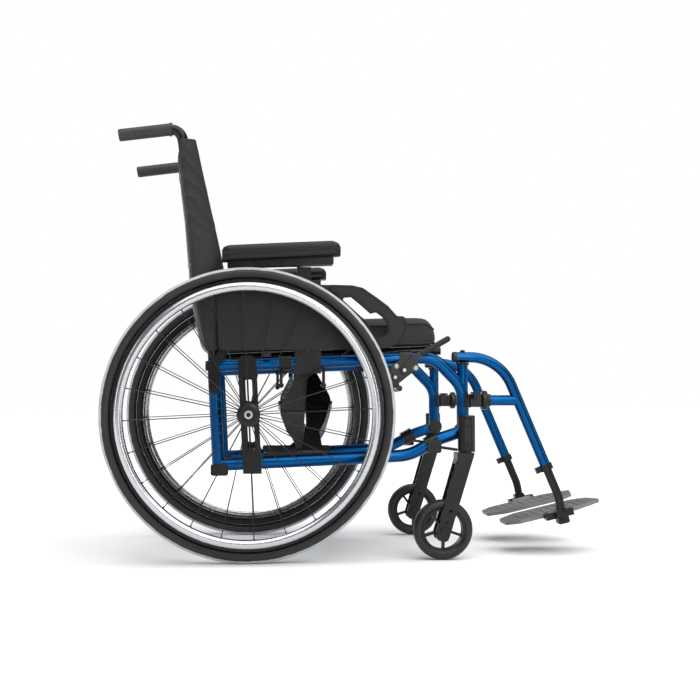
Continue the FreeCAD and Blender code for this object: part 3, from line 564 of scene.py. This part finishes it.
def make_back():
    """A padded back: a sewn panel with a sleeve down each side for the canes."""
    solid = tree_of(NODES["back_upholstery"])
    low = BACK_LOW.z + 0.002
    high = BACK_HIGH.z - 0.002
    cane_y = middle("push_grip_left").y
    seam_y = cane_y - SLEEVE_DEPTH
    rows, columns = 60, 48
    verts = []
    for row in range(rows + 1):
        z = low + (high - low) * row / rows
        rear, front = x_span(solid, 0, min(max(z, BACK_LOW.z + 0.004), BACK_HIGH.z - 0.004))
        end = min(z - low, high - z)
        rounding = 0.016
        fullness = sqrt(max(0.06, 1 - max(0.0, 1 - end / rounding) ** 2))
        for index in range(2 * columns):
            face_on = index < columns
            share = (index if face_on else 2 * columns - 1 - index) / (columns - 1)
            y = -seam_y + 2 * seam_y * share
            hollow = 1 - (y / seam_y) ** 2
            edge = min(1.0, (seam_y - abs(y)) / 0.02)
            tuck = 0.0035 * (1 - edge) ** 2
            x = front - 0.020 * hollow - tuck if face_on else rear - 0.012 * hollow + tuck
            centre = (front + rear) / 2 - 0.016 * hollow
            verts.append(Vector((centre + (x - centre) * fullness, y, z)))
    faces = grid_faces(rows + 1, 2 * columns, False, True)
    faces.append(tuple(reversed(range(2 * columns))))
    faces.append(tuple(range(rows * 2 * columns, (rows + 1) * 2 * columns)))
    panel = piece("back_panel", verts, faces, "black_nylon", None)

    def off_sleeves(point):
        """Less filling beside the sleeves and on the rear face, which is plain canvas."""
        rear, front = x_span(solid, 0, min(max(point.z, BACK_LOW.z + 0.004), BACK_HIGH.z - 0.004))
        hollow = 1 - (point.y / seam_y) ** 2
        forward = (point.x - (front + rear) / 2 + 0.016 * hollow) / 0.010 + 0.5
        return max(0.05, 1 - (abs(point.y) / seam_y) ** 3) * max(0.12, min(1.0, forward))

    sew_and_fill(panel, 0.005, 0.008, 4.0, 0.05, weight=off_sleeves)
    inset_y = seam_y - 0.030
    band_z = high - 0.060
    pleat_z = low + (high - low) * 0.42

    def to_seam(point):
        return min(abs(abs(point.y) - inset_y), abs(point.z - band_z), abs(point.z - pleat_z))

    press_seams(panel, to_seam, 0.0028, 0.0030)
    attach(panel, "right_side")
    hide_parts("back_upholstery")
    extras = [panel]
    surface = tree_of(panel)
    beside = 0.006
    inner_low, inner_high = low + 0.012, high - 0.012
    rows_of_thread = [("right", (-inset_y - beside, inner_low), (-inset_y - beside, inner_high)),
                      ("left", (inset_y + beside, inner_low), (inset_y + beside, inner_high)),
                      ("top", (-inset_y, band_z + beside), (inset_y, band_z + beside)),
                      ("middle", (-inset_y, pleat_z + beside), (inset_y, pleat_z + beside))]
    for face_name, way in (("front", -1), ("rear", 1)):
        for label, start, end in rows_of_thread:
            line = []
            for step in range(41):
                y, z = (first + (last - first) * step / 40 for first, last in zip(start, end))
                line.append(surface.ray_cast(Vector((-2 * way, y, z)), Vector((way, 0, 0)))[0])
            line = [hit for hit in line if hit is not None]
            extras.append(stitches("back_stitch_" + face_name + "_" + label, surface, line,
                                   "right_side", "black_nylon"))
    for made in extras:
        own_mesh(made)
    for side in SIDES:
        make_sleeve(side, solid, low, high)


def make_sleeve(side, solid, low, high):
    """The fabric sleeve over a back cane, creased where the cloth hangs from the top."""
    sign = SIDES[side]
    high += 0.004
    cane = tree_of(NODES["back_cane_" + side])
    cane_y = middle("push_grip_left").y
    rows, columns = 150, 56
    verts = []
    for row in range(rows + 1):
        z = low + (high - low) * row / rows
        clamped = min(max(z, BACK_LOW.z + 0.004), BACK_HIGH.z - 0.004)
        rear, front = x_span(solid, 0, clamped)
        back_of_cane, front_of_cane = x_span(cane, sign * cane_y, clamped)
        end = min(z - low, high - z)
        fullness = 1 - 0.06 * max(0.0, 1 - end / 0.004) ** 2
        cane_mid = (back_of_cane + front_of_cane) / 2
        for index in range(columns):
            turn = 2 * pi * index / columns
            reach_x = cos(turn)
            span = (front - cane_mid) if reach_x > 0 else (cane_mid - rear)
            half_y = SLEEVE_DEPTH * (1.0 if reach_x < 0.3 else 1.0 - 0.10 * (reach_x - 0.3))
            bend = abs(reach_x) ** 0.9 * (1 if reach_x > 0 else -1)
            x = cane_mid + span * bend
            y = sign * cane_y + half_y * abs(sin(turn)) ** 0.75 * (1 if sin(turn) > 0 else -1) * sign
            share = (z - low) / (high - low)
            fold_line = (z - high) + (x - rear) * 1.35
            waver = 3.0 * noise.noise(Vector((x * 17, sign, z * 17)))
            crease = max(0.0, sin(fold_line * 2 * pi / 0.038 + waver))
            upper = max(0.0, min(1.0, (share - 0.48) / 0.2, (1.0 - share) / 0.12)) * abs(sin(turn)) ** 1.5
            soft = noise.noise(Vector((x * 30, y * 30 + 5 * sign, z * 22)))
            outward = Vector((cos(turn), sin(turn) * sign, 0))
            lift = 0.0009 * soft + 0.0040 * upper * crease ** 3
            verts.append(Vector((cane_mid + (x - cane_mid) * fullness, y, z)) + outward * lift)
    faces = grid_faces(rows + 1, columns, False, True)
    faces.append(tuple(reversed(range(columns))))
    faces.append(tuple(range(rows * columns, (rows + 1) * columns)))
    sleeve = piece("back_sleeve_" + side, verts, faces, "black_nylon", side + "_side")
    surface = tree_of(sleeve)
    for offset in (0.010, 0.0145):
        lines = []
        for row in range(40):
            z = low + 0.01 + (high - low - 0.02) * row / 39
            rear, front = x_span(solid, 0, min(max(z, BACK_LOW.z + 0.004), BACK_HIGH.z - 0.004))
            lines.append(Vector((front - offset, sign * (cane_y + 0.05), z)))
        hits = [surface.ray_cast(point, Vector((0, -sign, 0)))[0] for point in lines]
        hits = [hit for hit in hits if hit is not None]
        name = "sleeve_stitch_%s_%d" % (side, round(offset * 10000))
        stitches(name, surface, hits, side + "_side", "black_nylon")


# ---------------------------------------------------------------- seat

def make_cushion():
    """A boxed seat cushion: crowned top, sides pulled in between the corners, piped edges."""
    low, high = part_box("seat_cushion")
    length = high.x - low.x
    half_y = (high.y - low.y) / 2 - 0.004
    solid = tree_of(NODES["seat_cushion"])
    down, up = Vector((0, 0, -1)), Vector((0, 0, 1))
    top_rear = solid.ray_cast(Vector((low.x + 0.05, 0, 2)), down)[0]
    top_front = solid.ray_cast(Vector((high.x - 0.05, 0, 2)), down)[0]
    base_rear = solid.ray_cast(Vector((low.x + 0.05, 0, -1)), up)[0]
    slope = (top_front.z - top_rear.z) / (top_front.x - top_rear.x)
    thick = top_rear.z - base_rear.z
    columns, rows, layers = 46, 42, 9
    verts, index_of, faces = [], {}, []

    def point_at(i, j, k):
        u, v, w = 2 * i / columns - 1, 2 * j / rows - 1, k / layers
        corner = 0.90
        x_half = (length / 2 - 0.004) * (1 - 0.012 * (1 - v * v) * abs(u) ** 6)
        y_half = half_y * (1 - 0.012 * (1 - u * u) * abs(v) ** 6)
        bulge = 1 + 0.010 * sin(pi * w) * max(abs(u), abs(v)) ** 8
        x = u * x_half * bulge * (1 - 0.02 * abs(v) ** 10)
        y = v * y_half * bulge * (1 - 0.02 * abs(u) ** 10)
        nose = max(0.0, (u - corner) / (1 - corner))
        drop = 0.012 * nose ** 2 * w
        crown = 0.006 * (1 - u ** 4) * (1 - v ** 4) * w
        rim = -0.006 * w * max(abs(u), abs(v)) ** 14
        x_world = (low.x + high.x) / 2 + x
        z = base_rear.z + slope * (x_world - base_rear.x) + 0.0015 + w * (thick - 0.004) + crown + rim - drop
        return Vector((x_world, y, z))

    def corner_index(i, j, k):
        if (i, j, k) not in index_of:
            index_of[(i, j, k)] = len(verts)
            verts.append(point_at(i, j, k))
        return index_of[(i, j, k)]

    for i in range(columns):
        for j in range(rows):
            top = [(i, j, layers), (i + 1, j, layers), (i + 1, j + 1, layers), (i, j + 1, layers)]
            faces.append(tuple(corner_index(*corner) for corner in top))
            faces.append(tuple(corner_index(a, b, 0) for a, b, _ in reversed(top)))
    for k in range(layers):
        for i in range(columns):
            for j, flip in ((0, False), (rows, True)):
                wall = [(i, j, k), (i + 1, j, k), (i + 1, j, k + 1), (i, j, k + 1)]
                faces.append(tuple(corner_index(*corner) for corner in (reversed(wall) if flip else wall)))
        for j in range(rows):
            for i, flip in ((0, True), (columns, False)):
                wall = [(i, j, k), (i, j + 1, k), (i, j + 1, k + 1), (i, j, k + 1)]
                faces.append(tuple(corner_index(*corner) for corner in (reversed(wall) if flip else wall)))
    cushion = piece("seat_cushion_soft", verts, faces, "cushion_fabric", None)
    base = base_rear.z
    start_x = base_rear.x

    def above_base(point):
        return max(0.0, min(1.0, (point.z - base - slope * (point.x - start_x)) / (thick * 0.5)))

    sew_and_fill(cushion, 0.006, 0.006, 4.0, 0.02, 15.0, above_base)
    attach(cushion, "seat")
    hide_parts("seat_cushion")
    pieces = [cushion]
    surface = tree_of(cushion)
    for label, layer in (("top", layers), ("base", 0)):
        ring_points = [point_at(i, 0, layer) for i in range(columns)]
        ring_points += [point_at(columns, j, layer) for j in range(rows)]
        ring_points += [point_at(columns - i, rows, layer) for i in range(columns)]
        ring_points += [point_at(0, rows - j, layer) for j in range(rows)]
        pieces.append(piping("cushion_piping_" + label, surface, ring_points, "seat", "cushion_fabric"))
    for made in pieces:
        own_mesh(made)


def make_sling():
    """The woven sling under the cushion, stretched between the seat rails with hemmed edges."""
    low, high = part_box("seat_sling")
    solid = tree_of(NODES["seat_sling"])
    along, across = 40, 36
    length = high.x - low.x - 0.004
    width = high.y - low.y - 0.002
    sheet_thick = 0.0012
    top, under = [], []
    for i in range(along + 1):
        x = low.x + 0.002 + length * i / along
        level = solid.ray_cast(Vector((x, 0, 2)), Vector((0, 0, -1)))[0].z - 0.0004
        for j in range(across + 1):
            v = 2 * j / across - 1
            y = v * width / 2
            sag = 0.0012 * (1 - v * v)
            ripple = 0.0006 * noise.noise(Vector((x * 20, y * 9, 0))) * (1 - v * v)
            top.append(Vector((x, y, level - sag + ripple)))
            under.append(Vector((x, y, level - sag + ripple - sheet_thick)))
    count = (along + 1) * (across + 1)
    upper = grid_faces(along + 1, across + 1)
    faces = [tuple(face) for face in upper]
    faces += [tuple(count + corner for corner in reversed(face)) for face in upper]
    rim = [i * (across + 1) for i in range(along + 1)]
    rim += [along * (across + 1) + j for j in range(1, across + 1)]
    rim += [i * (across + 1) + across for i in range(along - 1, -1, -1)]
    rim += [j for j in range(across - 1, 0, -1)]
    for first, second in zip(rim, rim[1:] + rim[:1]):
        faces.append((first, second, count + second, count + first))
    sling = piece("seat_sling_cloth", top + under, faces, "black_nylon", "seat")
    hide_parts("seat_sling")
    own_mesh(sling)


# ---------------------------------------------------------------- armrest pads

def make_armrest_pad(side):
    """A moulded pad: crowned soft top over a stepped skirt, with the seam line between them."""
    node = "armrest_pad_" + side
    solid = tree_of(NODES[node])
    low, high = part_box(node)
    mid_y = (low.y + high.y) / 2
    half_y = (high.y - low.y) / 2 - 0.001
    rows = 96
    ends = 0.0015
    verts = []
    columns = 64
    for row in range(rows + 1):
        share = (1 - cos(pi * row / rows)) / 2
        x = low.x + ends + (high.x - low.x - 2 * ends) * share
        top = solid.ray_cast(Vector((x, mid_y, 2)), Vector((0, 0, -1)))[0].z
        base = solid.ray_cast(Vector((x, mid_y, 0)), Vector((0, 0, 1)))[0].z
        run = min(x - low.x, high.x - x)
        narrow = sqrt(max(0.02, 1 - max(0.0, 1 - run / 0.022) ** 2.2)) if run < 0.022 else 1.0
        height = top - base
        for index in range(columns):
            turn = 2 * pi * index / columns
            across, rise = sin(turn), cos(turn)
            squared = abs(across) ** 0.42 * (1 if across > 0 else -1)
            if rise > 0:
                level = 0.42 + 0.58 * rise ** 0.62
            else:
                level = 0.42 - 0.42 * min(1.0, abs(rise) ** 0.5 * 1.02)
            inset = 0.0
            if level < 0.42:
                inset = 0.0030
            if abs(level - 0.42) < 0.03:
                inset = 0.0050
            y = squared * (half_y - inset) * (0.55 + 0.45 * narrow)
            verts.append(Vector((x, mid_y + y, base + height * level)))
    faces = grid_faces(rows + 1, columns, False, True)
    faces.append(tuple(reversed(range(columns))))
    faces.append(tuple(range(rows * columns, (rows + 1) * columns)))
    pad = piece(node + "_soft", verts, faces, "pad_skin", "armrest_" + side)
    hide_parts(node)
    bead = []
    for row in range(rows + 1):
        bead.append(verts[row * columns + columns // 4])
    other = [verts[row * columns + 3 * columns // 4] for row in range(rows + 1)]
    line = bead + list(reversed(other))
    bead_verts, bead_faces = tube_mesh(sample_line(line + [line[0]], 0.004)[:-1], 0.0007, True, 6)
    piece(node + "_seam", bead_verts, bead_faces, "pad_skin", "armrest_" + side)


# ---------------------------------------------------------------- fasteners and trim

LOCK_SCREW_R = 0.0040
HOUSING_SCREW_R = 0.0036


def dome_bolt(name, place, sign, radius, body, slot="axle_steel", finish="bolt_zinc"):
    """A button-head screw facing outboard: washer, domed head and a hexagon socket."""
    around = 36
    profile = [(1.35, 0.0), (1.35, 0.10), (1.30, 0.14), (1.02, 0.14), (1.0, 0.22), (0.98, 0.50),
               (0.90, 0.66), (0.74, 0.78), (0.56, 0.83), (0.50, 0.80), (0.48, 0.36), (0.0, 0.30)]
    verts = []
    for reach, rise in profile:
        for step in range(around):
            turn = 2 * pi * step / around
            corner = 1.0
            if reach < 0.55:
                corner = cos(pi / 6) / cos((turn % (pi / 3)) - pi / 6)
            verts.append(place + Vector((reach * corner * radius * cos(turn), sign * rise * radius,
                                         reach * corner * radius * sin(turn))))
    faces = grid_faces(len(profile), around, False, True)
    faces.append(tuple(range(around)))
    made = piece(name, verts, faces, slot, body)
    made.data.materials[0] = MATERIAL[finish]
    return made


def outboard_face(tree, x, z, sign):
    """The outermost point of a form on a line along Y."""
    return tree.ray_cast(Vector((x, sign * 3.0, z)), Vector((0, -sign, 0)))[0]


def outboard_outlines(node, sign):
    """The closed outlines of a node's outermost flat face, wound with the material on one side."""
    mesh = node.data
    face_y = max(sign * vert.co.y for vert in mesh.vertices)
    sides = {}
    for polygon in mesh.polygons:
        if sign * polygon.normal.y > 0.97 and sign * polygon.center.y > face_y - 0.0008:
            around = list(polygon.vertices)
            for start, end in zip(around, around[1:] + around[:1]):
                sides.setdefault(frozenset((start, end)), []).append((start, end))
    following = {}
    for pairs in sides.values():
        if len(pairs) == 1:
            start, end = (tuple(round(value, 5) for value in mesh.vertices[index].co) for index in pairs[0])
            following[start] = end
    loops = []
    while following:
        start = min(following)
        loop = [start]
        point = following.pop(start)
        while point != start and point in following:
            loop.append(point)
            point = following.pop(point)
        loops.append([Vector(point) for point in loop])
    return loops


def make_guard_ridges(side):
    """Moulded ridges that follow the edges of the side guard's handle loop."""
    sign = SIDES[side]
    inset, ridge, pitch = 0.0034, 0.0011, 0.003
    for number, loop in enumerate(outboard_outlines(NODES["side_guard_" + side], sign)):
        points = sample_line(loop + [loop[0]], pitch)[:-1]
        count = len(points)
        line = []
        for index, point in enumerate(points):
            along = (points[(index + 2) % count] - points[index - 2]).normalized()
            line.append(point + Vector((0, sign, 0)).cross(along) * inset)
        verts, faces = tube_mesh(line, ridge, True, 8)
        piece("guard_ridge_%s_%d" % (side, number + 1), verts, faces, "black_plastic", side + "_side")


def make_fasteners(side):
    """Bright screws on the wheel lock and black ones on the caster housing."""
    sign = SIDES[side]
    sunk = Vector((0, -sign * 0.0008, 0))
    joints = {joint["name"]: joint for joint in frame["record"]["behaviour"]["joints"]}
    fittings = tree_of(NODES["frame_fittings_" + side])
    lever = Vector(joints["brake_lever_" + side]["pos_m"])
    shoe = Vector(joints["brake_shoe_" + side]["pos_m"])
    lock_spots = [lever, shoe, lever + Vector((0.0245, 0, 0.005)), lever + Vector((-0.0155, 0, 0.008))]
    for index, spot in enumerate(lock_spots):
        face = outboard_face(fittings, spot.x, spot.z, sign)
        dome_bolt("lock_screw_%s_%d" % (side, index + 1), face + sunk, sign, LOCK_SCREW_R,
                  side + "_side")
    low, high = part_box("caster_housing_" + side)
    housing = tree_of(NODES["caster_housing_" + side])
    stem_x = joints["caster_swivel_" + side]["pos_m"][0]
    for index, share in enumerate((0.21, 0.72)):
        face = outboard_face(housing, stem_x, low.z + share * (high.z - low.z), sign)
        dome_bolt("housing_screw_%s_%d" % (side, index + 1), face + sunk, sign, HOUSING_SCREW_R,
                  side + "_side", "black_metal", "black_metal")


# ---------------------------------------------------------------- camera, light and floor

def make_stage():
    """A plain white matte studio floor."""
    paper = Shader("paper", Roughness=0.9, Specular_IOR_Level=0.0)
    patches = paper.span(paper.noise(1.5, 3), 0.3, 0.7, 0, 1)
    paper.colour(paper.mix(patches, (0.90, 0.90, 0.905), (0.92, 0.92, 0.925)))
    paper.roughness(paper.span(paper.noise(6, 3), 0.3, 0.7, 0.85, 0.95))
    reach = 40.0
    corners = [Vector((-reach, -reach, 0)), Vector((reach, -reach, 0)),
               Vector((reach, reach, 0)), Vector((-reach, reach, 0))]
    mesh = bpy.data.meshes.new("floor")
    mesh.from_pydata([tuple(corner) for corner in corners], [], [(0, 1, 2, 3)])
    mesh.materials.append(paper.material)
    floor = bpy.data.objects.new("floor", mesh)
    bpy.context.scene.collection.objects.link(floor)


def aim(lamp, place, target):
    lamp.location = place
    lamp.rotation_euler = (Vector(target) - Vector(place)).to_track_quat("-Z", "Y").to_euler()
    bpy.context.scene.collection.objects.link(lamp)


def area_light(name, place, target, size, power, tint=(1, 1, 1)):
    """A soft rectangular light aimed at a point."""
    data = bpy.data.lights.new(name, "AREA")
    data.shape = "RECTANGLE"
    data.size, data.size_y = size
    data.energy = power
    data.color = tint
    aim(bpy.data.objects.new(name, data), place, target)


def overhead_light(strength, spread):
    """One very broad, even light from above."""
    data = bpy.data.lights.new("overhead", "SUN")
    data.energy = strength
    data.angle = radians(spread)
    aim(bpy.data.objects.new("overhead", data), (0.25, -0.45, 1.6), (0, 0, 0))


def make_camera():
    """A low studio view of the right side, turned a little forwards."""
    data = bpy.data.cameras.new("camera")
    data.sensor_width = 36.0
    data.lens = 59.55
    data.clip_end = 80
    camera = bpy.data.objects.new("camera", data)
    camera.location = (WHEEL["right"].x + 0.0097, -2.590, 0.3249)
    camera.rotation_euler = (radians(90 + 2.513), 0, radians(-4.764))
    bpy.context.scene.collection.objects.link(camera)
    bpy.context.scene.camera = camera


def make_world():
    """White behind the chair, with dimmer surroundings so that dark parts keep their depth."""
    world = bpy.data.worlds.new("studio")
    world.use_nodes = True
    tree = world.node_tree
    tree.nodes.clear()
    seen = tree.nodes.new("ShaderNodeBackground")
    seen.inputs[0].default_value = (1, 1, 1, 1)
    seen.inputs[1].default_value = 1.0
    around = tree.nodes.new("ShaderNodeBackground")
    around.inputs[0].default_value = (0.97, 0.985, 1, 1)
    around.inputs[1].default_value = 0.14
    path = tree.nodes.new("ShaderNodeLightPath")
    blend = tree.nodes.new("ShaderNodeMixShader")
    output = tree.nodes.new("ShaderNodeOutputWorld")
    tree.links.new(path.outputs["Is Camera Ray"], blend.inputs[0])
    tree.links.new(around.outputs[0], blend.inputs[1])
    tree.links.new(seen.outputs[0], blend.inputs[2])
    tree.links.new(blend.outputs[0], output.inputs[0])
    bpy.context.scene.world = world
    bpy.context.scene.view_settings.view_transform = "Standard"
    bpy.context.scene.view_settings.look = "None"


make_camera()
make_world()
make_stage()
overhead_light(3.4, 85)
area_light("right_strip", (0.6, -3.0, 1.5), (0.1, 0, 0.45), (0.5, 2.4), 22)
area_light("left_strip", (-0.8, 3.0, 1.5), (0, 0, 0.45), (0.5, 2.4), 22)
area_light("front_strip", (3.2, -0.8, 1.1), (0.2, 0, 0.4), (0.4, 1.8), 10)
area_light("rear_strip", (-3.0, -0.9, 1.1), (-0.2, 0, 0.5), (0.4, 1.8), 10)

for wheel_side in SIDES:
    make_tyre(wheel_side)
    make_armrest_pad(wheel_side)
    make_fasteners(wheel_side)
    make_guard_ridges(wheel_side)
make_back()
make_cushion()
make_sling()
